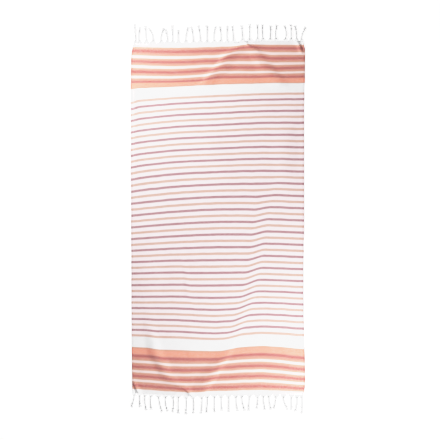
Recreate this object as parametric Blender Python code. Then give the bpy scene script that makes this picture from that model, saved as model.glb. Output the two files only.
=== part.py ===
"""Flat-woven beach towel with a knotted fringe at both ends, laid out flat.

Metres, +Z up. It lies on z = 0 with its length along Y and its width along X.
A point of the cloth is known by its place in the flat piece: u across it and v along it,
both counted from its middle. The function lie() says where that point lies in the laid towel.
"""

import bmesh
import bpy
import numpy as np

MM = 0.001

CLOTH_WIDTH = 0.900  # flat, from selvedge to selvedge
WOVEN_LENGTH = 1.800  # flat, with the fringe's backing strip at each end
CLOTH_THICK = 0.0012
LAID_HALF_WIDTH = 0.444  # half the laid width, where the ripples have drawn it in least
GRID_ACROSS = 36
GRID_ALONG = 54

BACKING_DEPTH = 0.010  # strip of cloth's end that holds the tassels' roots
PARTING = 0.0007  # between the strip and the cloth

FAN_WIDTH = 0.014  # a tassel's yarns where they leave the cloth
CORD_WIDTH = 0.0052  # and once they are twisted together
CORD_HEIGHT = 0.0044
KNOT_WIDTH = 0.0105
KNOT_HEIGHT = 0.0075
KNOT_HALF = 0.0042  # half the knot's length at its full width
KNOT_SHOULDER = 0.0035  # from there to the plain cord
LOCK_WIDTH = 0.0040  # each loose lock past the knot
LOCK_HEIGHT = 0.0026
LOCK_SPREAD = 0.0052
SHORT_LOCK = 0.86  # the second lock's share of the first one's length
SETTLE = 0.030  # a strand comes down to the ground within this of the cloth

# How the laid cloth departs from a true rectangle, in millimetres, a row for each station along it:
# how far each side edge is drawn in, and how far the weft has crept towards +Y at five places across.
STATION_COLUMNS = ("along", "in_left", "in_right", "left", "left_mid", "middle", "right_mid", "right")
STATIONS = (
    (900, 14, 8, -3, -5, -3, 4, 3),
    (850, 3, 0, -2, -7, -1, 4, 4),
    (770, 0, 0, -5, -10, 1, 2, 7),
    (610, 0, 3, -16, 1, 12, 21, 25),
    (300, 0, 4, -14, 9, 19, 27, 24),
    (0, 1, 4, -2, 16, 27, 26, 18),
    (-300, 2, 8, 12, 16, 17, 20, 13),
    (-610, 3, 5, 20, 15, 6, 24, 12),
    (-770, 5, 0, 6, -7, -4, 5, -14),
    (-850, 6, 1, 10, -5, -3, 3, -10),
    (-900, 8, 8, 12, -1, -3, -1, -6),
)

# Folds, each a soft ridge, in millimetres. Its form: half the width over which the cloth slips
# past itself, how far to the right of the crest that is, and the widths of the left and the right
# flank. Its stations: where the crest runs, how far the cloth on its left has slipped towards -Y
# past the cloth on its right, and how high it stands.
FOLD_COLUMNS = ("x", "y", "slip", "height")
FOLDS = {
    "long diagonal": (
        (46, -8, 36, 55),
        (
            (290, 250, 0, 0),
            (238, 60, 14, 1),
            (215, -100, 19, 1.2),
            (192, -240, 23, 1.2),
            (167, -365, 25, 1.6),
            (146, -440, 23, 1.8),
            (112, -540, 19, 1.4),
            (76, -620, 10, 1),
            (48, -690, 0, 0),
        ),
    ),
    "bottom diagonal": (
        (32, -2, 75, 36),
        (
            (92, -590, 0, 0),
            (66, -640, 2, 1.5),
            (42, -690, 10, 4),
            (16, -735, 11, 6),
            (-22, -790, 9, 6),
            (-80, -890, 6, 4),
        ),
    ),
    "top diagonal": (
        (32, 3, 34, 72),
        (
            (136, 890, 5, 4),
            (50, 836, 17, 7),
            (14, 784, 13, 7),
            (-36, 732, 12, 7),
            (-66, 690, 4, 5),
            (-95, 620, 0, 0),
        ),
    ),
    "top right": (
        (34, 34, 50, 60),
        (
            (120, 890, -3, 2),
            (185, 842, -8, 4),
            (218, 790, -7, 6),
            (248, 740, -5, 7),
            (282, 700, -4, 6),
            (318, 650, 0, 0),
        ),
    ),
    "bottom left": (
        (36, 0, 46, 46),
        (
            (-150, -890, -2, 3),
            (-216, -845, -6, 6),
            (-262, -795, -7, 7),
            (-286, -735, -7, 7),
            (-320, -680, -7, 7),
            (-340, -580, -6, 4),
            (-352, -400, 0, 0),
        ),
    ),
    "left billow": (
        (1, 0, 95, 95),
        (
            (-330, 80, 0, 0),
            (-365, -90, 0, 6),
            (-372, -260, 0, 7),
            (-350, -420, 0, 0),
        ),
    ),
    "upper billow": (
        (1, 0, 110, 110),
        (
            (-120, 520, 0, 0),
            (-20, 330, 0, 5),
            (30, 150, 0, 5),
            (20, -30, 0, 0),
        ),
    ),
    "right billow": (
        (1, 0, 80, 80),
        (
            (370, 560, 0, 0),
            (340, 380, 0, 6),
            (352, 180, 0, 5),
            (372, 0, 0, 0),
        ),
    ),
}

# The tassels of each end, in millimetres, left to right: where the tassel leaves the cloth, how far
# its cord bows and leans to +X on the way to the knot, the knot's distance from the cloth, how far
# the loose end flicks to +X past the knot, and the distance of its tip from the cloth.
TASSEL_COLUMNS = ("at", "bow", "lean", "knot", "flick", "reach")
TOP_TASSELS = (
    (-420, 0, -4, 76, 1, 95),
    (-403, -1, 2, 60, -2, 82),
    (-366, 0, -4, 70, 1, 88),
    (-332, 4, -14, 64, -8, 76),
    (-290, -2, 9, 60, 6, 76),
    (-260, 2, -3, 50, 2, 70),
    (-231, 0, -2, 68, 0, 91),
    (-203, 0, 0, 50, 1, 68),
    (-164, -1, 8, 64, 0, 80),
    (-126, 1, -7, 66, -4, 84),
    (-91, 1, -5, 66, -3, 90),
    (-57, 1, 1, 66, -4, 88),
    (-19, -2, 3, 66, 4, 83),
    (13, 3, 0, 62, -8, 82),
    (48, -2, -1, 65, 8, 84),
    (79, 0, -4, 62, 4, 84),
    (125, 1, -3, 66, 5, 83),
    (162, 0, 0, 70, 3, 86),
    (203, 0, -1, 68, 1, 83),
    (229, -1, -3, 65, 2, 82),
    (266, 1, 3, 56, -8, 78),
    (296, -2, 1, 62, 4, 82),
    (341, 6, 1, 66, -3, 80),
    (372, 0, 0, 62, 0, 84),
    (400, 1, -4, 60, -1, 80),
    (427, -2, 13, 56, 4, 72),
)
BOTTOM_TASSELS = (
    (-428, 1, -9, 54, -2, 74),
    (-400, 0, 1, 50, 2, 72),
    (-372, -2, 3, 68, 2, 84),
    (-339, -5, -3, 66, 0, 80),
    (-304, 1, 12, 68, 4, 90),
    (-266, -4, 4, 66, 3, 84),
    (-231, 3, 1, 68, -1, 86),
    (-202, -1, -1, 74, 1, 92),
    (-162, 1, 0, 72, -7, 94),
    (-127, 2, 2, 66, -6, 88),
    (-82, 1, -3, 74, 0, 91),
    (-54, 2, -4, 72, 6, 90),
    (-17, -1, -1, 72, 4, 87),
    (17, -1, 2, 66, -5, 80),
    (55, 0, 0, 70, 1, 87),
    (92, -1, 5, 66, 2, 85),
    (122, -1, 10, 66, 2, 83),
    (163, -2, -7, 60, 6, 82),
    (200, 2, 0, 48, -7, 74),
    (232, -1, 4, 60, 5, 80),
    (260, 0, 8, 64, 1, 76),
    (296, 0, -9, 60, -2, 72),
    (334, -2, 14, 58, 7, 76),
    (375, -1, -1, 58, 1, 74),
    (402, 2, -3, 62, -2, 83),
    (428, 1, 1, 60, 0, 93),
)


def rows(columns, table):
    """The table's rows as dictionaries by column name."""
    return [dict(zip(columns, row)) for row in table]


def curve_through(stations, values, t):
    """A smooth curve through the values at the stations, in either order, read at every t."""
    order = np.argsort(stations)
    at = np.asarray(stations, float)[order]
    value = np.asarray(values, float)[order]
    slope = np.gradient(value, at)
    i = np.clip(np.searchsorted(at, t) - 1, 0, len(at) - 2)
    span = at[i + 1] - at[i]
    s = np.clip((t - at[i]) / span, 0.0, 1.0)
    start = (1 + 2 * s) * (1 - s) ** 2 * value[i] + s * (1 - s) ** 2 * span * slope[i]
    end = s**2 * (3 - 2 * s) * value[i + 1] - s**2 * (1 - s) * span * slope[i + 1]
    return start + end


def smooth_step(t):
    """From 0 to 1 as t does, level at both ends."""
    t = np.clip(t, 0.0, 1.0)
    return t * t * (3 - 2 * t)


def creep(u, v):
    """How far the weft at (u, v) has crept towards +Y, before any fold."""
    stations = rows(STATION_COLUMNS, STATIONS)
    along = [row["along"] * MM for row in stations]
    places = STATION_COLUMNS[3:]
    across = np.linspace(-CLOTH_WIDTH / 2, CLOTH_WIDTH / 2, len(places))
    moved = np.zeros_like(v)
    for j, place in enumerate(places):
        share = curve_through(across, np.eye(len(places))[j], u)
        moved += share * curve_through(along, [row[place] * MM for row in stations], v)
    return moved


def side_edges(v):
    """The X of the left and right edges of the laid cloth at each v."""
    stations = rows(STATION_COLUMNS, STATIONS)
    along = [row["along"] * MM for row in stations]
    left = curve_through(along, [row["in_left"] * MM for row in stations], v) - LAID_HALF_WIDTH
    right = LAID_HALF_WIDTH - curve_through(along, [row["in_right"] * MM for row in stations], v)
    return left, right


def lie(u, v):
    """Where the flat cloth's points (u, v) lie: their X, their Y and the height of the underside."""
    left, right = side_edges(v)
    x = left + (right - left) * (u / CLOTH_WIDTH + 0.5)
    y = v + creep(u, v)
    lifted = np.zeros_like(x)
    slipped = np.zeros_like(x)
    for form, line in FOLDS.values():
        half, middle, left_flank, right_flank = (number * MM for number in form)
        fold = rows(FOLD_COLUMNS, line)
        ys = [row["y"] * MM for row in fold]
        xs = [row["x"] * MM for row in fold]
        run = (curve_through(ys, xs, y + MM) - curve_through(ys, xs, y - MM)) / (2 * MM)
        off = (x - curve_through(ys, xs, y)) / np.hypot(1.0, run)
        slip = curve_through(ys, [row["slip"] * MM for row in fold], y)
        slipped += slip * (1 - smooth_step(0.5 + (off - middle) / (2 * half)))
        flank = np.clip(off / np.where(off < 0, left_flank, right_flank), -1, 1)
        height = curve_through(ys, [row["height"] * MM for row in fold], y)
        lifted += height * (1 - flank**2) ** 2
    return x, y - slipped, np.clip(lifted, 0.0, None)


def material(name, colour, roughness):
    """A plain matt material."""
    made = bpy.data.materials.new(name)
    made.use_nodes = True
    shader = made.node_tree.nodes["Principled BSDF"]
    shader.inputs["Base Color"].default_value = (*colour, 1.0)
    shader.inputs["Roughness"].default_value = roughness
    shader.inputs["Metallic"].default_value = 0.0
    return made


def add_object(name, bm, finish):
    """Links the finished mesh as an object of that name."""
    mesh = bpy.data.meshes.new(name)
    bm.to_mesh(mesh)
    bm.free()
    made = bpy.data.objects.new(name, mesh)
    mesh.materials.append(finish)
    bpy.context.scene.collection.objects.link(made)
    return made


def cloth(finish):
    """The woven panel: a grid laid along its creep and folds, given the cloth's thickness."""
    half_length = WOVEN_LENGTH / 2 - BACKING_DEPTH - PARTING / 2
    bm = bmesh.new()
    bmesh.ops.create_grid(bm, x_segments=GRID_ACROSS, y_segments=GRID_ALONG, size=0.5)
    u = np.array([vert.co.x for vert in bm.verts]) * CLOTH_WIDTH
    v = np.array([vert.co.y for vert in bm.verts]) * 2 * half_length
    for vert, place in zip(bm.verts, np.transpose(lie(u, v))):
        vert.co = place
    panel = add_object("woven_cloth", bm, finish)
    panel.data.shade_smooth()
    thick = panel.modifiers.new("thickness", "SOLIDIFY")
    thick.thickness = CLOTH_THICK
    thick.offset = 1.0
    return panel


def flat_place(x, v):
    """The u of the cloth's point that lies at x, at the station v."""
    left, right = side_edges(np.array([v]))
    return float(((x - left[0]) / (right[0] - left[0]) - 0.5) * CLOTH_WIDTH)


def backing(bm, cuts, end):
    """The strip beside the cloth's end, cut across at each of the given places.
    Returns its outer edge as pairs of points, bottom and top, one for each cut."""
    inner_v = end * (WOVEN_LENGTH / 2 - BACKING_DEPTH + PARTING / 2)
    outer_v = end * WOVEN_LENGTH / 2
    sections = []
    for u in cuts:
        corners = []
        for v in (inner_v, outer_v):
            x, y, z = (float(value[0]) for value in lie(np.array([u]), np.array([v])))
            corners.append([bm.verts.new((x, y, z)), bm.verts.new((x, y, z + CLOTH_THICK))])
        (inner_low, inner_high), (outer_low, outer_high) = corners
        sections.append((inner_low, inner_high, outer_high, outer_low))
    for a, b in zip(sections, sections[1:]):
        for i, j in ((0, 1), (1, 2), (3, 0)):
            bm.faces.new((a[i], b[i], b[j], a[j]))
    bm.faces.new(sections[0])
    bm.faces.new(sections[-1])
    return [(section[3], section[2]) for section in sections]


def ring(bm, centre, across, width, height):
    """Four points round a strand: low left, low right, high right and high left."""
    low, high = centre[2], centre[2] + height
    side = across * width / 2
    places = ((-1, low), (1, low), (1, high), (-1, high))
    return [bm.verts.new((centre[0] + s * side[0], centre[1] + s * side[1], z)) for s, z in places]


def bridge(bm, a, b):
    """The four walls between two rings."""
    for i in range(4):
        j = (i + 1) % 4
        bm.faces.new((a[i], a[j], b[j], b[i]))


def loose_lock(bm, start, root, tip, across):
    """One of the two locks past the knot, from its root ring to a blunt tip."""
    middle = ring(bm, (root + tip) / 2, across, LOCK_WIDTH, LOCK_HEIGHT)
    last = ring(bm, tip, across, LOCK_WIDTH * 0.7, LOCK_HEIGHT * 0.7)
    bridge(bm, start, middle)
    bridge(bm, middle, last)
    bm.faces.new(last)


def tassel(bm, start, row, rim, end):
    """A tassel from four points of the backing's edge: its fanned root, the twisted cord, the
    knot and two loose locks. It rests on the ground all along."""
    knot, reach = row["knot"] * MM, row["reach"] * MM

    def centre(distance):
        t = distance / knot
        if t <= 1:
            off = row["lean"] * t * t + 4 * row["bow"] * t * (1 - t)
        else:
            off = row["lean"] + row["flick"] * (distance - knot) / (reach - knot)
        lift = rim[2] * (1 - smooth_step(distance / SETTLE))
        return np.array([rim[0] + off * MM, rim[1] + end * distance, lift])

    def across(distance):
        run = centre(distance + MM) - centre(distance - MM)
        return np.array([end * run[1], -end * run[0]]) / np.hypot(run[0], run[1])

    sections = (
        (0.005, FAN_WIDTH * 0.62, CORD_HEIGHT * 0.55),
        (0.012, CORD_WIDTH, CORD_HEIGHT),
        (knot * 0.55, CORD_WIDTH, CORD_HEIGHT),
        (knot - KNOT_HALF - KNOT_SHOULDER, CORD_WIDTH, CORD_HEIGHT),
        (knot - KNOT_HALF, KNOT_WIDTH, KNOT_HEIGHT),
        (knot + KNOT_HALF, KNOT_WIDTH, KNOT_HEIGHT),
    )
    for distance, width, height in sections:
        made = ring(bm, centre(distance), across(distance), width, height)
        bridge(bm, start, made)
        start = made

    # Past the knot the ring has a middle edge, which parts the two locks.
    fork = knot + KNOT_HALF + KNOT_SHOULDER
    place, side = centre(fork), across(fork)
    low_left, low_right, high_right, high_left = ring(bm, place, side, 2 * LOCK_WIDTH, LOCK_HEIGHT)
    low_middle = bm.verts.new(place)
    high_middle = bm.verts.new(place + np.array([0, 0, LOCK_HEIGHT]))
    bm.faces.new((start[0], start[1], low_right, low_middle, low_left))
    bm.faces.new((start[2], start[3], high_left, high_middle, high_right))
    bm.faces.new((start[1], start[2], high_right, low_right))
    bm.faces.new((start[3], start[0], low_left, high_left))

    spread = np.array([*side, 0.0])
    left_tip = centre(reach) - spread * LOCK_SPREAD
    right_tip = centre(fork + (reach - fork) * SHORT_LOCK) + spread * LOCK_SPREAD
    left_root = place - spread * LOCK_WIDTH / 2
    right_root = place + spread * LOCK_WIDTH / 2
    loose_lock(bm, (low_left, low_middle, high_middle, high_left), left_root, left_tip, side)
    loose_lock(bm, (low_middle, low_right, high_right, high_middle), right_root, right_tip, side)


def fringe(name, table, end, finish):
    """One end's fringe: the backing strip with a tassel on every fan of yarns."""
    outer_v = end * WOVEN_LENGTH / 2
    tassels = rows(TASSEL_COLUMNS, table)
    cuts = [-CLOTH_WIDTH / 2]
    for row in tassels:
        middle = flat_place(row["at"] * MM, outer_v)
        cuts += [middle - FAN_WIDTH / 2, middle + FAN_WIDTH / 2]
    cuts.append(CLOTH_WIDTH / 2)

    bm = bmesh.new()
    edge = backing(bm, cuts, end)
    for i, (a, b) in enumerate(zip(edge, edge[1:])):
        if i % 2 == 0:  # between two tassels
            bm.faces.new((a[0], b[0], b[1], a[1]))
        else:
            row = tassels[i // 2]
            rim = (np.array(a[0].co) + np.array(b[0].co)) / 2
            tassel(bm, [a[0], b[0], b[1], a[1]], row, rim, end)
    bmesh.ops.recalc_face_normals(bm, faces=bm.faces)
    return add_object(name, bm, finish)


def centre_on_origin(pieces):
    """Moves the pieces so that the middle of their outline is over the origin."""
    bpy.context.view_layer.update()
    points = [piece.matrix_world @ vert.co for piece in pieces for vert in piece.data.vertices]
    xs = [point.x for point in points]
    ys = [point.y for point in points]
    for piece in pieces:
        piece.location.x -= (min(xs) + max(xs)) / 2
        piece.location.y -= (min(ys) + max(ys)) / 2


def main():
    for old in list(bpy.data.objects):
        bpy.data.objects.remove(old)
    woven = material("striped_cotton", (0.90, 0.66, 0.60), 0.9)
    yarn = material("fringe_cotton", (0.88, 0.88, 0.89), 0.9)
    centre_on_origin(
        [
            cloth(woven),
            fringe("fringe_top", TOP_TASSELS, 1, yarn),
            fringe("fringe_bottom", BOTTOM_TASSELS, -1, yarn),
        ]
    )


main()
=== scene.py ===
import math

import bpy
import numpy as np
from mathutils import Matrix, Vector


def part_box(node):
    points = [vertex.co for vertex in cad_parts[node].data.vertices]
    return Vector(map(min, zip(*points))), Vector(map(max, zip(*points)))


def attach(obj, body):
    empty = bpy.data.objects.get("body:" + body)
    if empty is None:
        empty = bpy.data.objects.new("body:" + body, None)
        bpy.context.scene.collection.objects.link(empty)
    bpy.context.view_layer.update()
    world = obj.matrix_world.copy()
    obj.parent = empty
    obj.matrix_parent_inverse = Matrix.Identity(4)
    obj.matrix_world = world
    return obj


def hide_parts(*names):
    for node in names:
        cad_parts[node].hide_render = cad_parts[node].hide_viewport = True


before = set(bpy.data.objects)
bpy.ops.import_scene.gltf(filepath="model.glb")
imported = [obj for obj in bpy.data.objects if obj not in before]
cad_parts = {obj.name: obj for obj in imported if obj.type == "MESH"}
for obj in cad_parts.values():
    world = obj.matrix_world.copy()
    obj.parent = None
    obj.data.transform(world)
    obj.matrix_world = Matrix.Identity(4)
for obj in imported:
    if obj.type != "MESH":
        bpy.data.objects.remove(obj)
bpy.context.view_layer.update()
mm = 0.001
print("towel: the packed model is loaded")


# how the towel lies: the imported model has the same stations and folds, but for the foot of topDiagonal, the
# kink, the left edge and the creases
towel = {
    "width": 0.900,  # metres, flat
    "length": 1.800,
    "panelLength": 1.7793,  # metres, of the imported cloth, which leaves a strip at each end to the fringes
    "thickness": 0.0011,
    "laidHalfWidth": 0.444,  # metres, where the folds draw it in least
    "cells": (150, 318),  # across and along
    "rims": ((0.056, 20), (0.061, 50)),  # share of the width and the length next to an edge, and its cells
    "ripple": 0.5,  # millimetres that the slack between the folds stands up
    "pucker": 0.35,  # share of that which the shorter waves add
    "weftWander": 0.35,  # millimetres that a weft strays from its line
    "warpWander": 0.5,
    "settle": 0.5,  # millimetres over which the underside comes to rest on the ground
    "seed": 11,
}

# waves of the slack: shortest and longest in millimetres, and how many are added up
slackWaves = {
    "ripple": ((70, 170), 14),
    "pucker": ((24, 40), 12),
    "weftWander": ((50, 130), 10),
    "warpWander": ((40, 110), 8),
}

# stations along the towel, in millimetres: how far each side is drawn in, and the weft's creep along the
# towel at five places across
stations = {
    "along": (900, 850, 770, 610, 300, 0, -300, -610, -770, -850, -900),
    "inLeft": (14, 3, 0, 0, 0, 1, 2, 3, 5, 6, 8),
    "inRight": (8, 0, 0, 3, 4, 4, 8, 5, 0, 1, 8),
    "creep": (
        (-3, -2, -5, -16, -14, -2, 12, 20, 6, 10, 12),
        (-5, -7, -10, 1, 9, 16, 16, 15, -7, -5, -1),
        (-3, -1, 1, 12, 19, 27, 17, 6, -4, -3, -3),
        (4, 4, 2, 21, 27, 26, 20, 24, 5, 3, -1),
        (3, 4, 7, 25, 24, 18, 13, 12, -14, -10, -6),
    ),
}

# each fold, in millimetres: half the width over which the cloth slips past itself and how far to the right
# of the crest that is, the widths of its left and right flank, then x, y, slip along the towel and height at
# its stations
folds = {
    "longDiagonal": (46, -8, 36, 55, ((290, 250, 0, 0), (238, 60, 14, 1), (215, -100, 19, 1.2),
                                      (192, -240, 23, 1.2), (167, -365, 25, 1.6), (146, -440, 23, 1.8),
                                      (112, -540, 19, 1.4), (76, -620, 10, 1), (48, -690, 0, 0))),
    "bottomDiagonal": (32, -2, 75, 36, ((92, -590, 0, 0), (66, -640, 2, 1.5), (42, -690, 10, 4),
                                        (16, -735, 11, 6), (-22, -790, 9, 6), (-80, -890, 6, 4))),
    "topDiagonal": (32, 3, 34, 72, ((136, 890, 5, 4), (50, 836, 17, 7), (14, 784, 13, 7), (-36, 732, 12, 7),
                                    (-54, 706, 11, 6), (-74, 678, 1, 4), (-95, 620, 0, 0))),
    "topRight": (34, 34, 50, 60, ((120, 890, -3, 2), (185, 842, -8, 4), (218, 790, -7, 6), (248, 740, -5, 7),
                                  (282, 700, -4, 6), (318, 650, 0, 0))),
    "bottomLeft": (36, 0, 46, 46, ((-150, -890, -2, 3), (-216, -845, -6, 6), (-262, -795, -7, 7),
                                   (-286, -735, -7, 7), (-320, -680, -7, 7), (-340, -580, -6, 4),
                                   (-352, -400, 0, 0))),
    "kink": (18, 0, 20, 24, ((-200, -130, 0, 0), (-180, -205, -2, 1), (-163, -260, -4, 1.5),
                             (-158, -330, -4, 1.5), (-145, -400, -2, 1), (-130, -450, 0, 0))),
    "leftEdge": (26, 4, 20, 34, ((-424, 700, 0, 0), (-424, 600, 8, 3), (-424, 430, 4, 3), (-424, 280, 5, 3),
                                 (-424, 60, 0, 0))),
    "leftBillow": (1, 0, 95, 95, ((-330, 80, 0, 0), (-365, -90, 0, 6), (-372, -260, 0, 7),
                                  (-350, -420, 0, 0))),
    "upperBillow": (1, 0, 110, 110, ((-120, 520, 0, 0), (-20, 330, 0, 5), (30, 150, 0, 5), (20, -30, 0, 0))),
    "rightBillow": (1, 0, 80, 80, ((370, 560, 0, 0), (340, 380, 0, 6), (352, 180, 0, 5), (372, 0, 0, 0))),
}

# sharper creases on and beside the folds, in millimetres: reach of the flank on the left and on the right as
# the crease runs, then x, y and height
creases = {
    "topPatch": (34, 24, ((232, 806, 0), (262, 770, 1.5), (290, 728, 2), (312, 690, 2.5), (322, 655, 0))),
    "topHem": (4.5, 13, ((134, 903, 4), (145, 890, 8), (158, 877, 10), (176, 867, 9), (200, 859, 5),
                         (226, 855, 0))),
    "topHemDash": (6, 5, ((76, 898, 2), (88, 902, 10), (120, 904, 10), (132, 904, 5))),
    "topHemLift": (16, 16, ((165, 906, 0), (200, 908, 5), (300, 908, 5), (380, 908, 5), (410, 905, 1))),
    "bottomPatch": (34, 24, ((-262, -770, 0), (-292, -722, 1.5), (-318, -690, 2.5), (-330, -650, 1),
                             (-334, -620, 0))),
    "bottomHem": (4.5, 13, ((-137, -905, 4), (-147, -891, 8), (-161, -877, 10), (-179, -867, 9),
                            (-202, -859, 5), (-226, -855, 0))),
    "bottomHemLift": (16, 16, ((-165, -906, 0), (-200, -908, 5), (-300, -908, 5), (-380, -908, 5),
                               (-410, -905, 1))),
    "topRightCorner": (5, 12, ((397, 910, 5), (412, 883, 8), (419, 867, 8), (428, 845, 4), (432, 834, 0))),
    "topRightFork": (4, 7, ((434, 908, 3), (439, 890, 5), (440, 868, 5), (438, 846, 0))),
    "bottomLeftCorner": (5, 12, ((-395, -912, 5), (-410, -884, 8), (-418, -867, 8), (-428, -842, 4),
                                 (-432, -830, 0))),
    "bottomLeftFork": (4, 7, ((-432, -900, 3), (-435, -880, 5), (-436, -862, 5), (-436, -846, 0))),
    "topLeftCorner": (6, 8, ((-436, 890, 2), (-415, 880, 2.5), (-392, 874, 0))),
    "bandNick": (4, 6, ((-146, -660, 0), (-145, -690, 1.6), (-147, -728, 0))),
}


def curveThrough(places, values, t):
    # a smooth curve through the values at their places, read at t
    order = np.argsort(places)
    at = np.asarray(places, float)[order]
    value = np.asarray(values, float)[order]
    slope = np.gradient(value, at)
    i = np.clip(np.searchsorted(at, t) - 1, 0, len(at) - 2)
    span = at[i + 1] - at[i]
    s = np.clip((t - at[i]) / span, 0.0, 1.0)
    start = (1 + 2 * s) * (1 - s) ** 2 * value[i] + s * (1 - s) ** 2 * span * slope[i]
    end = s**2 * (3 - 2 * s) * value[i + 1] - s**2 * (1 - s) * span * slope[i + 1]
    return start + end


def smoothStep(t):
    t = np.clip(t, 0.0, 1.0)
    return t * t * (3 - 2 * t)


def sideEdges(v):
    along = np.array(stations["along"]) * mm
    left = curveThrough(along, np.array(stations["inLeft"]) * mm, v) - towel["laidHalfWidth"]
    right = towel["laidHalfWidth"] - curveThrough(along, np.array(stations["inRight"]) * mm, v)
    return left, right


def lie(u, v):
    # where the flat cloth's points lie: x, y and how high the folds lift them
    along = np.array(stations["along"]) * mm
    left, right = sideEdges(v)
    x = left + (right - left) * (u / towel["width"] + 0.5)
    across = np.linspace(-towel["width"] / 2, towel["width"] / 2, 5)
    y = v.copy()
    for j, creep in enumerate(stations["creep"]):
        share = curveThrough(across, np.eye(5)[j], u)
        y += share * curveThrough(along, np.array(creep) * mm, v)
    lifted = np.zeros_like(x)
    slipped = np.zeros_like(x)
    for slipHalf, slipAt, leftFlank, rightFlank, line in folds.values():
        xs, ys, slips, heights = np.array(line, float).T * mm
        run = (curveThrough(ys, xs, y + mm) - curveThrough(ys, xs, y - mm)) / (2 * mm)
        off = (x - curveThrough(ys, xs, y)) / np.hypot(1.0, run)
        crossed = smoothStep(0.5 + (off - slipAt * mm) / (2 * slipHalf * mm))
        slipped += curveThrough(ys, slips, y) * (1 - crossed)
        flank = np.clip(off / np.where(off < 0, leftFlank * mm, rightFlank * mm), -1, 1)
        lifted += curveThrough(ys, heights, y) * (1 - flank**2) ** 2
    return x, y - slipped, np.clip(lifted, 0.0, None)


def ridge(x, y, leftReach, rightReach, line):
    # height of a soft ridge along a curve through the line's points
    points = np.array(line, float) * mm
    t = np.arange(len(points), dtype=float)
    fine = np.linspace(0, len(points) - 1, 6 * len(points))
    px, py, ph = (curveThrough(t, points[:, k], fine) for k in range(3))
    best = np.full(x.shape, np.inf)
    height = np.zeros_like(x)
    for i in range(len(fine) - 1):
        dx, dy = px[i + 1] - px[i], py[i + 1] - py[i]
        length = math.hypot(dx, dy)
        share = np.clip(((x - px[i]) * dx + (y - py[i]) * dy) / length**2, 0, 1)
        away = np.hypot(x - px[i] - share * dx, y - py[i] - share * dy)
        side = np.sign(dx * (y - py[i]) - dy * (x - px[i]))
        width = np.where(side > 0, leftReach, rightReach) * mm
        closer = away < best
        here = (ph[i] + (ph[i + 1] - ph[i]) * share) * np.exp(-((away / width) ** 2))
        height = np.where(closer, here, height)
        best = np.where(closer, away, best)
    return np.clip(height, 0, None)


def waves(name, u, v):
    # a sum of gentle waves in all directions, about 1 high
    wavelengths, count = slackWaves[name]
    chance = np.random.default_rng(towel["seed"] + list(slackWaves).index(name))
    total = np.zeros_like(u)
    for _ in range(count):
        length = chance.uniform(*wavelengths) * mm
        turn = chance.uniform(0, math.tau)
        phase = chance.uniform(0, math.tau)
        total += np.sin(math.tau * (u * math.cos(turn) + v * math.sin(turn)) / length + phase)
    return total / math.sqrt(count)


def clothSurface(u, v):
    # the whole lie of the cloth's underside, creases and slack included
    x, y, z = lie(u, v)
    for leftReach, rightReach, line in creases.values():
        z = z + ridge(x, y, leftReach, rightReach, line)
    slack = towel["ripple"] * (waves("ripple", u, v) + towel["pucker"] * waves("pucker", u, v))
    z = z + slack * mm
    z = 0.5 * (z + np.sqrt(z**2 + (towel["settle"] * mm) ** 2))
    y = y + towel["weftWander"] * mm * waves("weftWander", u, 0.6 * v)
    x = x + towel["warpWander"] * mm * waves("warpWander", u, v)
    return x, y, z


def centring():
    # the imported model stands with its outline's middle on the origin
    low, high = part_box("woven_cloth")
    grid = np.meshgrid(np.linspace(-0.5, 0.5, 37), np.linspace(-0.5, 0.5, 55))
    x, y, _ = lie(grid[0].ravel() * towel["width"], grid[1].ravel() * towel["panelLength"])
    return (low.x + high.x - x.min() - x.max()) / 2, (low.y + high.y - y.min() - y.max()) / 2


shiftX, shiftY = centring()


def deselectAll():
    for item in bpy.context.selected_objects:
        item.select_set(False)


def makeActive(item):
    deselectAll()
    item.select_set(True)
    bpy.context.view_layer.objects.active = item


def newMaterial(name):
    made = bpy.data.materials.new(name)
    made.use_nodes = True
    return made, made.node_tree, made.node_tree.nodes["Principled BSDF"]


def joinUp(tree, value, socket):
    if isinstance(value, bpy.types.NodeSocket):
        tree.links.new(value, socket)
    elif value is not None:
        socket.default_value = value


def calc(tree, operation, *values, clamp=False):
    node = tree.nodes.new("ShaderNodeMath")
    node.operation = operation
    node.use_clamp = clamp
    for socket, value in zip(node.inputs, values):
        joinUp(tree, value, socket)
    return node.outputs[0]


def mixColour(tree, share, first, second, blend="MIX"):
    node = tree.nodes.new("ShaderNodeMix")
    node.data_type = "RGBA"
    node.blend_type = blend
    joinUp(tree, share, node.inputs[0])
    for value, socket in ((first, node.inputs[6]), (second, node.inputs[7])):
        joinUp(tree, value if isinstance(value, bpy.types.NodeSocket) else (*value, 1.0), socket)
    return node.outputs[2]


def stretched(tree, source, scale):
    node = tree.nodes.new("ShaderNodeMapping")
    joinUp(tree, source, node.inputs["Vector"])
    node.inputs["Scale"].default_value = scale
    return node.outputs[0]


def noise(tree, vector, scale, detail=2.0, roughness=0.5):
    node = tree.nodes.new("ShaderNodeTexNoise")
    joinUp(tree, vector, node.inputs["Vector"])
    node.inputs["Scale"].default_value = scale
    node.inputs["Detail"].default_value = detail
    node.inputs["Roughness"].default_value = roughness
    return node.outputs[0]


def mask(tree, distance, centre, half, soft):
    # 1 within half of the centre, 0 outside, over a soft edge
    off = calc(tree, "ABSOLUTE", calc(tree, "SUBTRACT", distance, centre))
    return calc(tree, "MULTIPLY_ADD", calc(tree, "SUBTRACT", half, off), 1 / soft, 0.5, clamp=True)


def toned(tree, colour, tone):
    # the colour made darker or lighter by a plain factor
    grey = tree.nodes.new("ShaderNodeCombineColor")
    for socket in grey.inputs:
        tree.links.new(tone, socket)
    return mixColour(tree, 1.0, colour, grey.outputs[0], blend="MULTIPLY")


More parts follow.
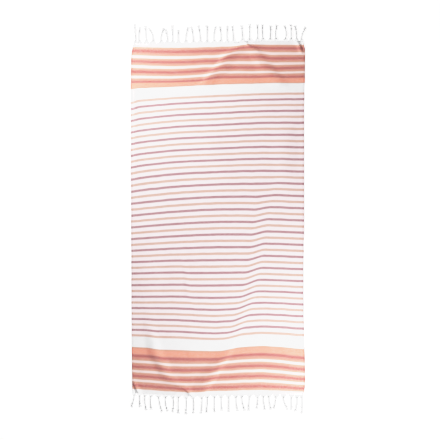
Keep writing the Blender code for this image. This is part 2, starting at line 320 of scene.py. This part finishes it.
def finishCotton(tree, shader, colour, height, fibre, feel):
    # matte cotton: its colour, the relief of its yarns and a faint sheen of fibres
    tree.links.new(colour, shader.inputs["Base Color"])
    bump = tree.nodes.new("ShaderNodeBump")
    bump.inputs["Strength"].default_value = feel["bump"]
    bump.inputs["Distance"].default_value = feel["bumpDepth"]
    tree.links.new(height, bump.inputs["Height"])
    tree.links.new(bump.outputs[0], shader.inputs["Normal"])
    rough = calc(tree, "MULTIPLY_ADD", fibre, feel["roughChange"], feel["rough"])
    tree.links.new(rough, shader.inputs["Roughness"])
    shader.inputs["Specular IOR Level"].default_value = feel["specular"]
    shader.inputs["Sheen Weight"].default_value = feel["sheen"]
    shader.inputs["Sheen Roughness"].default_value = 0.5


# the stripes: colours are those of the yarns in white light, lengths are millimetres on the flat cloth
stripes = {
    "ground": (0.87, 0.87, 0.875),
    "bandGround": (0.90, 0.68, 0.655),  # between the bands
    "fieldGround": (0.93, 0.79, 0.82),  # the white between the thin stripes is faintly pink
    "peach": (0.62, 0.32, 0.225),
    "coral": (0.62, 0.25, 0.195),
    "orange": (0.84, 0.32, 0.225),  # the widest band's inner half
    "rose": (0.45, 0.12, 0.11),
    "thinOrange": (0.635, 0.40, 0.33),
    "thinMauve": (0.415, 0.225, 0.245),
    "bandZone": (95.0, 76.0),  # from the end: middle and half width, as in the next three
    "bands": ((40.4, 19.0), (91.2, 19.0), (141.6, 18.5), (201.0, 29.5)),
    "lines": ((39.4, 5.5), (90.2, 5.5), (140.8, 5.5), (192.0, 5.5)),
    "orangePart": (213.0, 12.0),
    "coralInset": 6.5,  # from a band's edge
    "fieldHalf": 618.0,  # half the length of the pinkish field
    "thinPitch": 30.5,
    "thinHalf": 6.0,
    "thinCount": 20,  # to each side of the middle one
    "edgeFade": 1.2,
    "coralFade": 5.0,
    "lineFade": 4.0,
    "stray": 1.6,  # how far a weft strays, so no stripe's edge is ruled
}


def stripeColours(tree, place, v):
    wobble = noise(tree, stretched(tree, place, (0.03, 0.25, 1)), 1.0)
    stray = calc(tree, "MULTIPLY_ADD", wobble, stripes["stray"], -stripes["stray"] / 2)
    fromMiddle = calc(tree, "ABSOLUTE", calc(tree, "ADD", v, stray))
    fromEnd = calc(tree, "SUBTRACT", towel["length"] / 2 / mm, fromMiddle)
    edgeFade, coralFade, lineFade = stripes["edgeFade"], stripes["coralFade"], stripes["lineFade"]

    # end bands
    field = calc(tree, "LESS_THAN", fromMiddle, stripes["fieldHalf"])
    colour = mixColour(tree, field, stripes["ground"], stripes["fieldGround"])
    zone = mask(tree, fromEnd, *stripes["bandZone"], lineFade)
    colour = mixColour(tree, zone, colour, stripes["bandGround"])
    for middle, half in stripes["bands"]:
        colour = mixColour(tree, mask(tree, fromEnd, middle, half, edgeFade), colour, stripes["peach"])
        inner = mask(tree, fromEnd, middle, half - stripes["coralInset"], coralFade)
        colour = mixColour(tree, inner, colour, stripes["coral"])
    inner = mask(tree, fromEnd, *stripes["orangePart"], coralFade)
    colour = mixColour(tree, inner, colour, stripes["orange"])
    for middle, half in stripes["lines"]:
        colour = mixColour(tree, mask(tree, fromEnd, middle, half, lineFade), colour, stripes["rose"])

    # thin stripes, orange and mauve by turns
    turn = calc(tree, "ROUND", calc(tree, "DIVIDE", fromMiddle, stripes["thinPitch"]))
    off = calc(tree, "SUBTRACT", fromMiddle, calc(tree, "MULTIPLY", turn, stripes["thinPitch"]))
    thin = mask(tree, off, 0.0, stripes["thinHalf"], edgeFade)
    inField = calc(tree, "LESS_THAN", turn, stripes["thinCount"] + 0.5)
    odd = calc(tree, "MODULO", turn, 2.0)
    thinColour = mixColour(tree, odd, stripes["thinOrange"], stripes["thinMauve"])
    return mixColour(tree, calc(tree, "MULTIPLY", thin, inField), colour, thinColour)


# the weave: lengths are millimetres on the flat cloth
weave = {
    "pitch": 1.2,
    "warp": (0.83, 0.77, 0.76),
    "warpShows": 0.45,  # how much of its colour the warp keeps where it lies on top
    "warpSpread": (5.0, -0.6),  # a higher second value makes its spots larger
    "turnBack": (3.2, 1.5),  # width of the dense edge where the wefts turn back, and its fade
    "turnBackDepth": 0.7,
    "turnBackDark": 0.22,
    "edgeYarnShadeLine": (8.0, 0.9, 0.8),  # a thicker warp yarn, its line darkened as painted shade: from the edge, half width and fade
    "edgeYarnShadeDepth": 0.2,
    "base": 0.89,  # tone where neither slubs nor mottle lighten it
    "slub": 0.16,
    "mottle": 0.06,
    "slubRelief": 0.8,
    "fibreRelief": 0.5,
    "bump": 0.45,
    "bumpDepth": 0.00018,  # metres
    "rough": 0.82,
    "roughChange": 0.12,
    "specular": 0.2,
    "sheen": 0.12,
}


def clothMaterial():
    made, tree, shader = newMaterial("stripedCotton")
    flat = tree.nodes.new("ShaderNodeUVMap")
    flat.uv_map = "flatCloth"
    parts = tree.nodes.new("ShaderNodeSeparateXYZ")
    tree.links.new(flat.outputs[0], parts.inputs[0])
    u = calc(tree, "MULTIPLY", calc(tree, "SUBTRACT", parts.outputs[0], 0.5), towel["width"] / mm)
    v = calc(tree, "MULTIPLY", calc(tree, "SUBTRACT", parts.outputs[1], 0.5), towel["length"] / mm)
    sheetPlace = tree.nodes.new("ShaderNodeCombineXYZ")  # millimetres in the flat piece
    tree.links.new(u, sheetPlace.inputs[0])
    tree.links.new(v, sheetPlace.inputs[1])
    place = sheetPlace.outputs[0]
    colour = stripeColours(tree, place, v)

    # the selvedges
    edge = calc(tree, "SUBTRACT", towel["width"] / 2 / mm, calc(tree, "ABSOLUTE", u))
    turnBack = mask(tree, edge, 0.0, *weave["turnBack"])
    edgeYarnShadeLine = mask(tree, edge, *weave["edgeYarnShadeLine"])

    # plain weave: the white warp shows between the coloured wefts
    warpPhase = calc(tree, "MULTIPLY", u, math.pi / weave["pitch"])
    weftPhase = calc(tree, "MULTIPLY", v, math.pi / weave["pitch"])
    over = calc(tree, "MULTIPLY", calc(tree, "SINE", warpPhase), calc(tree, "SINE", weftPhase))
    warpUp = calc(tree, "MULTIPLY_ADD", over, *weave["warpSpread"], clamp=True)
    shows = calc(tree, "MULTIPLY_ADD", turnBack, -weave["warpShows"], weave["warpShows"])
    deep = calc(tree, "MULTIPLY", turnBack, weave["turnBackDepth"])
    colour = mixColour(tree, deep, colour, colour, blend="MULTIPLY")
    colour = mixColour(tree, calc(tree, "MULTIPLY", warpUp, shows), colour, weave["warp"])

    # slubs along the weft, and a cloudy unevenness
    slub = noise(tree, stretched(tree, place, (0.02, 0.7, 1)), 1.0, detail=3.0)
    mottle = noise(tree, place, 0.03, detail=4.0, roughness=0.6)
    slubTone = calc(tree, "MULTIPLY", slub, weave["slub"])
    tone = calc(tree, "ADD", slubTone, calc(tree, "MULTIPLY", mottle, weave["mottle"]))
    tone = calc(tree, "ADD", tone, weave["base"])
    tone = calc(tree, "MULTIPLY", tone, calc(tree, "MULTIPLY_ADD", turnBack, -weave["turnBackDark"], 1.0))
    # the thicker warp yarn's line made darker: painted shade along it
    tone = calc(tree, "MULTIPLY", tone, calc(tree, "MULTIPLY_ADD", edgeYarnShadeLine, -weave["edgeYarnShadeDepth"], 1.0))

    # relief of the yarns, with fibres on top
    fibre = noise(tree, place, 2.2, detail=3.0, roughness=0.7)
    fibreHeight = calc(tree, "MULTIPLY", fibre, weave["fibreRelief"])
    height = calc(tree, "ADD", calc(tree, "ABSOLUTE", over), fibreHeight)
    height = calc(tree, "ADD", height, calc(tree, "MULTIPLY", slub, weave["slubRelief"]))
    finishCotton(tree, shader, toned(tree, colour, tone), height, fibre, weave)
    return made


def buildCloth():
    deselectAll()
    bpy.ops.mesh.primitive_grid_add(
        x_subdivisions=towel["cells"][0], y_subdivisions=towel["cells"][1], size=1.0, location=(0, 0, 0)
    )
    cloth = bpy.context.active_object
    cloth.name = "towelCloth"
    mesh = cloth.data
    mesh.name = "towelCloth"
    count = len(mesh.vertices)
    flat = np.zeros(count * 3)
    mesh.vertices.foreach_get("co", flat)
    share = flat.reshape(-1, 3)[:, :2]  # of the width and the length, from the middle
    for axis, (rim, rimCells) in enumerate(towel["rims"]):
        reach = (0, 1 - 2 * rimCells / towel["cells"][axis], 1)
        even = share[:, axis]
        share[:, axis] = np.sign(even) * np.interp(abs(even) * 2, reach, (0, 1 - 2 * rim, 1)) / 2
    u = share[:, 0] * towel["width"]
    v = share[:, 1] * towel["length"]

    while mesh.uv_layers:
        mesh.uv_layers.remove(mesh.uv_layers[0])
    layer = mesh.uv_layers.new(name="flatCloth")
    corner = np.zeros(len(mesh.loops), int)
    mesh.loops.foreach_get("vertex_index", corner)
    layer.data.foreach_set("uv", (share[corner] + 0.5).ravel())

    x, y, z = clothSurface(u, v)
    mesh.vertices.foreach_set("co", np.stack((x + shiftX, y + shiftY, z), 1).ravel())
    mesh.update()

    makeActive(cloth)
    bpy.ops.object.shade_smooth()
    wall = cloth.modifiers.new("thickness", "SOLIDIFY")
    wall.thickness = towel["thickness"]
    wall.offset = 1.0
    bpy.ops.object.modifier_apply(modifier=wall.name)
    mesh.materials.append(clothMaterial())
    return cloth


# the knotted fringes, in millimetres
fringe = {
    "rootHalf": 15,  # how far to each side a tassel gathers the warp at most
    "rootGap": 0.8,  # half of what parts two tassels' roots
    "fanYarns": 20,
    "fanRadius": 0.42,
    "fanDepth": 2.0,  # how far inside the cloth's end the yarns begin
    "gather": 15,  # from the cloth to where the warp is gathered
    "plies": 2,
    "strands": 3,  # yarns in a ply
    "yarn": 1.04,  # radius of a yarn in the cord
    "cordTail": (0.48, 0.34),  # its radius past the knot, from first to last
    "plyOffset": 2.05,
    "yarnOffset": 1.14,
    "plyPitch": 13.0,
    "yarnPitch": 8.5,
    "lift": 0.6,  # of the middle line, in the cloth and in the knot
    "settle": 30,  # from the cloth to where the cord has come down
    "step": 1.65,  # between the points of a yarn
    "looseYarns": 20,
    "looseRadius": 0.64,
    "looseSpread": 7.5,  # to each side at most
    "onGround": 0.95,  # a yarn's middle stays up by this share of its radius
    "seed": 5,
}

# the overhand knot: a trefoil of a ring and a tube, cut open between the cord that comes in and goes out
knotForm = {
    "ring": 2.9,
    "tube": 1.6,
    "longer": 1.05,  # along the cord against across it
    "aside": 0.6,  # how far it is moved back over the cord's line
    "points": 34,
    "gap": 0.06,  # radians left open
    "apart": (0.7, 0.4),  # how far its first and last two points part in height
    "tilt": 0.5,  # most that it leans, in radians
    "before": 5.2,  # from the cord's plain end to the knot's middle
    "after": (5.0, 6.5),  # from the knot's middle to the cord's last two points
    "frayFrom": 2.5,  # from the knot's middle to where the loose yarns begin
    "cordTailFrom": 6,  # and to where the cord's own yarns part
}

# left to right: where it leaves the cloth, bow and lean of the cord, the knot's distance, flick, reach
topTassels = (
    (-420, 0, -4, 76, 1, 95), (-403, -1, 2, 60, -2, 82), (-366, 0, -4, 70, 1, 88), (-332, 4, -14, 64, -8, 76),
    (-290, -2, 9, 60, 6, 76), (-260, 2, -3, 50, 2, 70), (-231, 0, -2, 68, 0, 91), (-203, 0, 0, 50, 1, 68),
    (-164, -1, 8, 64, 0, 80), (-126, 1, -7, 66, -4, 84), (-91, 1, -5, 66, -3, 90), (-57, 1, 1, 66, -4, 88),
    (-19, -2, 3, 66, 4, 83), (13, 3, 0, 62, -8, 82), (48, -2, -1, 65, 8, 84), (79, 0, -4, 62, 4, 84),
    (125, 1, -3, 66, 5, 83), (162, 0, 0, 70, 3, 86), (203, 0, -1, 68, 1, 83), (229, -1, -3, 65, 2, 82),
    (266, 1, 3, 56, -8, 78), (296, -2, 1, 62, 4, 82), (341, 6, 1, 66, -3, 80), (372, 0, 0, 62, 0, 84),
    (400, 1, -4, 60, -1, 80), (427, -2, 13, 56, 4, 72),
)
bottomTassels = (
    (-428, 1, -9, 54, -2, 74), (-400, 0, 1, 50, 2, 72), (-372, -2, 3, 68, 2, 84), (-339, -5, -3, 66, 0, 80),
    (-304, 1, 12, 68, 4, 90), (-266, -4, 4, 66, 3, 84), (-231, 3, 1, 68, -1, 86), (-202, -1, -1, 74, 1, 92),
    (-162, 1, 0, 72, -7, 94), (-127, 2, 2, 66, -6, 88), (-82, 1, -3, 74, 0, 91), (-54, 2, -4, 72, 6, 90),
    (-17, -1, -1, 72, 4, 87), (17, -1, 2, 66, -5, 80), (55, 0, 0, 70, 1, 87), (92, -1, 5, 66, 2, 85),
    (122, -1, 10, 66, 2, 83), (163, -2, -7, 60, 6, 82), (200, 2, 0, 48, -7, 74), (232, -1, 4, 60, 5, 80),
    (260, 0, 8, 64, 1, 76), (296, 0, -9, 60, -2, 72), (334, -2, 14, 58, 7, 76), (375, -1, -1, 58, 1, 74),
    (402, 2, -3, 62, -2, 83), (428, 1, 1, 60, 0, 93),
)


def knotLine(tilt, flip):
    # across, along and up from the knot's middle
    ring, tube, gap = knotForm["ring"], knotForm["tube"], knotForm["gap"]
    t = np.linspace(gap, math.tau - gap, knotForm["points"])
    reach = ring + tube * np.cos(3 * t)
    across = reach * np.cos(2 * t) - knotForm["aside"]
    along = knotForm["longer"] * reach * np.sin(2 * t)
    knot = np.stack((across, along, tube * np.sin(3 * t)), 1)
    for i, apart in enumerate(knotForm["apart"]):
        knot[i, 2] += apart
        knot[-1 - i, 2] -= apart
    knot[:, 0] *= flip
    c, s = math.cos(tilt), math.sin(tilt)
    return np.stack((knot[:, 0] * c - knot[:, 2] * s, knot[:, 1], knot[:, 0] * s + knot[:, 2] * c), 1)


def evenly(points, step):
    # the same polyline with points a step apart
    run = np.concatenate(([0], np.cumsum(np.linalg.norm(np.diff(points, axis=0), axis=1))))
    at = np.linspace(0, run[-1], max(3, int(round(run[-1] / step)) + 1))
    return np.stack([np.interp(at, run, points[:, k]) for k in range(3)], 1), at


def softened(points, passes):
    for _ in range(passes):
        points[1:-1] = 0.25 * points[:-2] + 0.5 * points[1:-1] + 0.25 * points[2:]
    return points


def carried(points):
    # two directions square to the line, carried along it without twist
    tangent = np.gradient(points, axis=0)
    tangent /= np.linalg.norm(tangent, axis=1)[:, None]
    side = np.cross(tangent[0], (0, 0, 1.0))
    sides = []
    for direction in tangent:
        side = side - direction * np.dot(side, direction)
        side = side / np.linalg.norm(side)
        sides.append(side)
    sides = np.array(sides)
    return sides, np.cross(tangent, sides)


def tasselYarns(row, end, roots, hemPlaces, chance):
    # all yarns of one tassel, each a list of points with a radius, in millimetres
    at, bow, lean, knot, flick, reach = row
    rimX, rimY, rimZ = hemPlaces([at])[0]
    gather, yarn = fringe["gather"], fringe["yarn"]
    cordLift = fringe["plyOffset"] + fringe["yarnOffset"] + yarn * 0.9

    def centre(distance):
        t = distance / knot
        off = np.where(
            t <= 1,
            lean * t**2 + 4 * bow * t * (1 - t),
            lean + flick * (distance - knot) / (reach - knot),
        )
        fall = rimZ * (1 - smoothStep(distance / fringe["settle"]))
        gathered = smoothStep(distance / gather)
        lift = cordLift * gathered + fringe["lift"] * (1 - gathered)
        return np.stack((rimX + off, rimY + end * distance, fall + lift), 1)

    # the cord's middle line, through the knot
    tilt, flip = chance.uniform(-knotForm["tilt"], knotForm["tilt"]), chance.choice((-1, 1))
    local = knotLine(tilt, flip)
    before = centre(np.arange(gather, knot - knotForm["before"], 1.0))
    middle = centre(np.array([float(knot)]))[0]
    heading = (centre(np.array([knot - 0.5])) - centre(np.array([knot - 1.5])))[0]
    heading = heading / np.linalg.norm(heading)
    side = np.array([heading[1], -heading[0], 0.0])
    inKnot = middle + local[:, :1] * side + local[:, 1:2] * heading + local[:, 2:] * np.array([0, 0, 1.0])
    inKnot[:, 2] += fringe["lift"]
    after = centre(knot + np.array(knotForm["after"]))
    line = np.concatenate((before, inKnot, after))
    line, run = evenly(line, fringe["step"])
    line = softened(line, 2)
    sides, ups = carried(line)
    distance = end * (line[:, 1] - rimY)
    tight = smoothStep((knot - distance) / 3.0 - 1.2)  # 1 on the cord, 0 in the knot and past it
    yarns = []

    # the warp that fans out of the cloth: a few of its yarns run on into the cord
    plies, strands, thin = fringe["plies"], fringe["strands"], fringe["fanRadius"]
    spots = np.linspace(roots[0], roots[1], fringe["fanYarns"])
    spots = spots + chance.uniform(-0.5, 0.5, len(spots))
    picked = np.round(np.linspace(0, len(spots) - 1, plies * strands)).astype(int)
    rootPlaces = hemPlaces(spots, fringe["fanDepth"])
    turn = chance.uniform(0, math.tau)
    plyOffset = fringe["plyOffset"] * (0.45 + 0.55 * tight)
    yarnOffset = fringe["yarnOffset"] * (0.9 + 0.1 * tight)
    for k in range(plies * strands):
        ply, strand = k % plies, k // plies
        plyAngle = turn + math.tau * ply / plies + math.tau * run / fringe["plyPitch"]
        yarnAngle = math.tau * strand / strands - math.tau * run / fringe["yarnPitch"]
        a = plyOffset * np.cos(plyAngle) + yarnOffset * np.cos(yarnAngle)
        b = plyOffset * np.sin(plyAngle) + yarnOffset * np.sin(yarnAngle)
        body = line + a[:, None] * sides + b[:, None] * ups
        root = rootPlaces[picked[k]]
        fan = []
        for share in (0.0, 0.14, 0.4, 0.7):
            bent = share**1.15
            fan.append(root * (1 - bent) + body[0] * bent)
            fan[-1][2] += 0.25 * math.sin(math.pi * share) * cordLift
        points = np.concatenate((np.array(fan), body))
        tail = looseTail(points[-1], heading, side, reach - knot - knotForm["cordTailFrom"], chance)
        points = np.concatenate((points, tail))
        radius = np.full(len(points), yarn)
        radius[:3] = thin
        radius[-len(tail):] = np.linspace(*fringe["cordTail"], len(tail))
        yarns.append((points, radius))

    # the rest of the fan ends inside the cord's beginning
    starts = centre(np.array([float(gather)]))[0]
    for i, root in enumerate(rootPlaces):
        if i in picked:
            continue
        onward = end * chance.uniform(2.0, 7.0)
        target = starts + np.array([chance.uniform(-1, 1), onward, 0])
        target[2] = starts[2] + chance.uniform(-0.8, 0.9)
        points = []
        for share in (0.0, 0.16, 0.45, 0.75, 1.0):
            place = root * (1 - share) + target * share
            place[2] += 0.5 * math.sin(math.pi * share)
            points.append(place)
        yarns.append((np.array(points), np.array([thin, thin, 0.45, 0.5, 0.45])))

    # the frayed end past the knot
    frayFrom = knotForm["frayFrom"]
    exitPlace = centre(np.array([knot + frayFrom]))[0]
    for _ in range(fringe["looseYarns"]):
        start = exitPlace + np.array([chance.uniform(-1.4, 1.4), 0, chance.uniform(-0.9, 1.0)])
        tail = looseTail(start, heading, side, reach - knot - frayFrom, chance)
        points = np.concatenate((start[None], tail))
        yarns.append((points, np.linspace(1.2, 0.8, len(points)) * fringe["looseRadius"]))
    return yarns


def looseTail(start, heading, side, length, chance):
    # a loose yarn that spreads and comes down to the ground
    length = max(length, 6.0) * chance.uniform(0.68, 1.04)
    spread = chance.uniform(-1, 1) * fringe["looseSpread"]
    curl = chance.uniform(-1.2, 1.2)
    phase = chance.uniform(0, math.tau)
    ground = fringe["looseRadius"] * 0.9 + abs(chance.normal(0, 0.5))
    points = []
    for share in (0.2, 0.4, 0.6, 0.8, 1.0):
        place = start + heading * length * share
        place = place + side * (spread * share**1.3 + curl * math.sin(phase + 5 * share) * share)
        place[2] = start[2] + (ground - start[2]) * smoothStep(share * 1.3)
        points.append(place)
    return np.array(points)


# the fringe's undyed yarn: white cotton, with both tones greyed as painted shade between its fibres and plies
yarnFinish = {
    "shaded": (0.52, 0.52, 0.53),
    "bright": (0.60, 0.595, 0.59),
    "unshadedNearCloth": (0.78, 0.78, 0.78),  # next to the cloth, before the painted shade of the twisted cords sets in
    "cordShadeReach": 0.028,  # metres from the cloth's end over which the painted shade of the cords and knots grows
    "fibreTone": (0.3, 0.85),  # how much fibres lighten it, and its tone without them
    "bump": 0.5,
    "bumpDepth": 0.00012,  # metres
    "rough": 0.80,
    "roughChange": 0.12,
    "specular": 0.2,
    "sheen": 0.15,
}


def yarnMaterial():
    made, tree, shader = newMaterial("fringeCotton")
    place = tree.nodes.new("ShaderNodeTexCoord").outputs["Object"]
    eachYarn = tree.nodes.new("ShaderNodeNewGeometry").outputs["Random Per Island"]
    cloudy = noise(tree, place, 90.0, detail=3.0)
    fibre = noise(tree, place, 2600.0, detail=3.0, roughness=0.7)
    halfCloudy = calc(tree, "MULTIPLY", cloudy, 0.5)
    share = calc(tree, "ADD", calc(tree, "MULTIPLY", eachYarn, 0.5), halfCloudy, clamp=True)
    colour = mixColour(tree, share, yarnFinish["shaded"], yarnFinish["bright"])
    parts = tree.nodes.new("ShaderNodeSeparateXYZ")
    tree.links.new(place, parts.inputs[0])
    # greyer away from the cloth's end: painted shade of the twisted cords and knots
    fromEnd = calc(tree, "SUBTRACT", calc(tree, "ABSOLUTE", parts.outputs[1]), towel["length"] / 2)
    cordShadeShare = calc(tree, "DIVIDE", fromEnd, yarnFinish["cordShadeReach"], clamp=True)
    colour = mixColour(tree, cordShadeShare, yarnFinish["unshadedNearCloth"], colour)
    tone = calc(tree, "MULTIPLY_ADD", fibre, *yarnFinish["fibreTone"])
    finishCotton(tree, shader, toned(tree, colour, tone), fibre, fibre, yarnFinish)
    return made


def buildFringe(name, table, end, finish):
    chance = np.random.default_rng(fringe["seed"] + (end > 0))
    hemV = end * towel["length"] / 2
    left, right = (float(side[0]) for side in sideEdges(np.array([hemV])))

    def hemPlaces(xs, inside=0.0):
        # the middle of the cloth's thickness along the hem, or a little inside it
        share = np.clip((np.asarray(xs, float) * mm - left) / (right - left), 0.002, 0.998)
        u = (share - 0.5) * towel["width"]
        px, py, pz = clothSurface(u, np.full_like(u, hemV - end * inside * mm))
        return np.stack((px, py, pz + towel["thickness"] / 2), 1) / mm

    data = bpy.data.curves.new(name, "CURVE")
    data.dimensions = "3D"
    data.bevel_depth = mm
    data.bevel_resolution = 1
    data.use_fill_caps = True
    places = [row[0] for row in table]
    rootHalf, rootGap = fringe["rootHalf"], fringe["rootGap"]
    for i, row in enumerate(table):
        at = row[0]
        before = places[i - 1] if i else at - 2 * rootHalf
        beyond = places[i + 1] if i + 1 < len(places) else at + 2 * rootHalf
        roots = (
            max(at - rootHalf, (before + at) / 2 + rootGap),
            min(at + rootHalf, (beyond + at) / 2 - rootGap),
        )
        for points, radius in tasselYarns(row, end, roots, hemPlaces, chance):
            points[:, 2] = np.maximum(points[:, 2], radius * fringe["onGround"])
            spline = data.splines.new("POLY")
            spline.points.add(len(points) - 1)
            placed = points * mm + np.array([shiftX, shiftY, 0])
            spline.points.foreach_set("co", np.concatenate((placed, np.ones((len(placed), 1))), 1).ravel())
            spline.points.foreach_set("radius", radius)
    made = bpy.data.objects.new(name, data)
    bpy.context.scene.collection.objects.link(made)
    makeActive(made)
    bpy.ops.object.convert(target="MESH")
    made = bpy.context.active_object
    bpy.ops.object.mode_set(mode="EDIT")
    bpy.ops.mesh.select_all(action="SELECT")
    bpy.ops.mesh.remove_doubles(threshold=1e-6)
    bpy.ops.mesh.normals_make_consistent(inside=False)
    bpy.ops.object.mode_set(mode="OBJECT")
    bpy.ops.object.shade_smooth()
    made.data.materials.clear()
    made.data.materials.append(finish)
    return made


cloth = buildCloth()
print("towel: the cloth is laid,", len(cloth.data.polygons), "faces")
fringeCotton = yarnMaterial()
fringeTop = buildFringe("fringeTop", topTassels, 1, fringeCotton)
fringeBottom = buildFringe("fringeBottom", bottomTassels, -1, fringeCotton)
faces = len(fringeTop.data.polygons), len(fringeBottom.data.polygons)
print("towel: both fringes are knotted,", *faces, "faces")

for piece, node, slotName in (
    (cloth, "woven_cloth", "striped_cotton"),
    (fringeTop, "fringe_top", "fringe_cotton"),
    (fringeBottom, "fringe_bottom", "fringe_cotton"),
):
    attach(piece, "root")
    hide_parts(node)


# the studio
studio = {
    "floor": 6.0,  # metres
    "floorDrop": 0.0002,
    "floorColour": (0.30, 0.30, 0.30, 1.0),
    "floorGlow": 1.38,  # pale all over, as with light from below
    "worldStrength": 0.39,
    # two soft boxes face each other: power, where each stands and the spot on the ground that it faces
    "softBoxes": {
        "upperLeft": (37.0, (-1.5, 1.8, 0.8), (-0.25, 0.60, 0.0)),
        "lowerRight": (37.0, (1.5, -1.8, 0.8), (0.25, -0.60, 0.0)),
    },
    "boxSize": 0.5,
    "boxSpread": 130.0,  # degrees, as with a grid on the box
    "lens": 85.0,
    "sensor": 36.0,
    # the photograph, in pixels
    "framePixels": 440,
    "towelMiddle": (217.5, 217.5),
    "frameMiddle": (219.5, 219.5),
    "millimetresPerPixel": 5.1,  # on the ground
    # light against what is shown: the cloth's whites are held close together below the bare floor's
    "toneCurve": ((0, 0), (0.25, 0.21), (0.5, 0.5), (0.7, 0.715), (0.85, 0.83), (1.0, 0.905), (1.2, 0.935),
                  (1.5, 0.955), (1.56, 1.0)),
    "redCurve": ((0, 0), (0.8, 0.8), (0.9, 0.925), (0.94, 0.965), (1, 1)),  # its whites lean to warm
}


def buildFloor():
    deselectAll()
    bpy.ops.mesh.primitive_plane_add(size=studio["floor"], location=(0, 0, -studio["floorDrop"]))
    floor = bpy.context.active_object
    floor.name = "floor"
    made, _, shader = newMaterial("studioFloor")
    shader.inputs["Base Color"].default_value = studio["floorColour"]
    shader.inputs["Roughness"].default_value = 0.9
    shader.inputs["Specular IOR Level"].default_value = 0.0
    shader.inputs["Emission Color"].default_value = (1, 1, 1, 1)
    shader.inputs["Emission Strength"].default_value = studio["floorGlow"]
    floor.data.materials.append(made)


def lightStudio():
    world = bpy.data.worlds.new("studio")
    world.use_nodes = True
    sky = world.node_tree.nodes["Background"]
    sky.inputs["Color"].default_value = (1.0, 1.0, 1.0, 1.0)
    sky.inputs["Strength"].default_value = studio["worldStrength"]
    bpy.context.scene.world = world

    for name, (power, stand, spot) in studio["softBoxes"].items():
        bpy.ops.object.light_add(type="AREA", location=stand)
        box = bpy.context.active_object
        box.name = name + "SoftBox"
        box.data.shape = "SQUARE"
        box.data.size = studio["boxSize"]
        box.data.energy = power
        box.data.spread = math.radians(studio["boxSpread"])
        facing = Vector(spot) - Vector(stand)
        box.rotation_euler = facing.to_track_quat("-Z", "Y").to_euler()


def placeCamera():
    # straight above, where one pixel of the frame is as large on the ground as in the photograph
    scale = studio["millimetresPerPixel"]
    distance = scale * studio["framePixels"] * mm * studio["lens"] / studio["sensor"]
    across = (studio["frameMiddle"][0] - studio["towelMiddle"][0]) * scale * mm
    along = (studio["towelMiddle"][1] - studio["frameMiddle"][1]) * scale * mm
    bpy.ops.object.camera_add(location=(across + shiftX, along + shiftY, distance), rotation=(0, 0, 0))
    camera = bpy.context.active_object
    camera.data.lens = studio["lens"]
    camera.data.sensor_width = studio["sensor"]
    bpy.context.scene.camera = camera


def setTones():
    look = bpy.context.scene.view_settings
    look.view_transform = "Standard"
    look.use_curve_mapping = True
    brightest = studio["toneCurve"][-1][0]
    look.curve_mapping.white_level = (brightest, brightest, brightest)
    red, _, _, combined = look.curve_mapping.curves
    for bright, shown in studio["toneCurve"][1:-1]:
        combined.points.new(bright / brightest, shown)
    for bright, shown in studio["redCurve"][1:-1]:
        red.points.new(bright, shown)
    for point in red.points:
        point.handle_type = "VECTOR"
    look.curve_mapping.update()


buildFloor()
lightStudio()
placeCamera()
setTones()
print("towel: the studio is set")
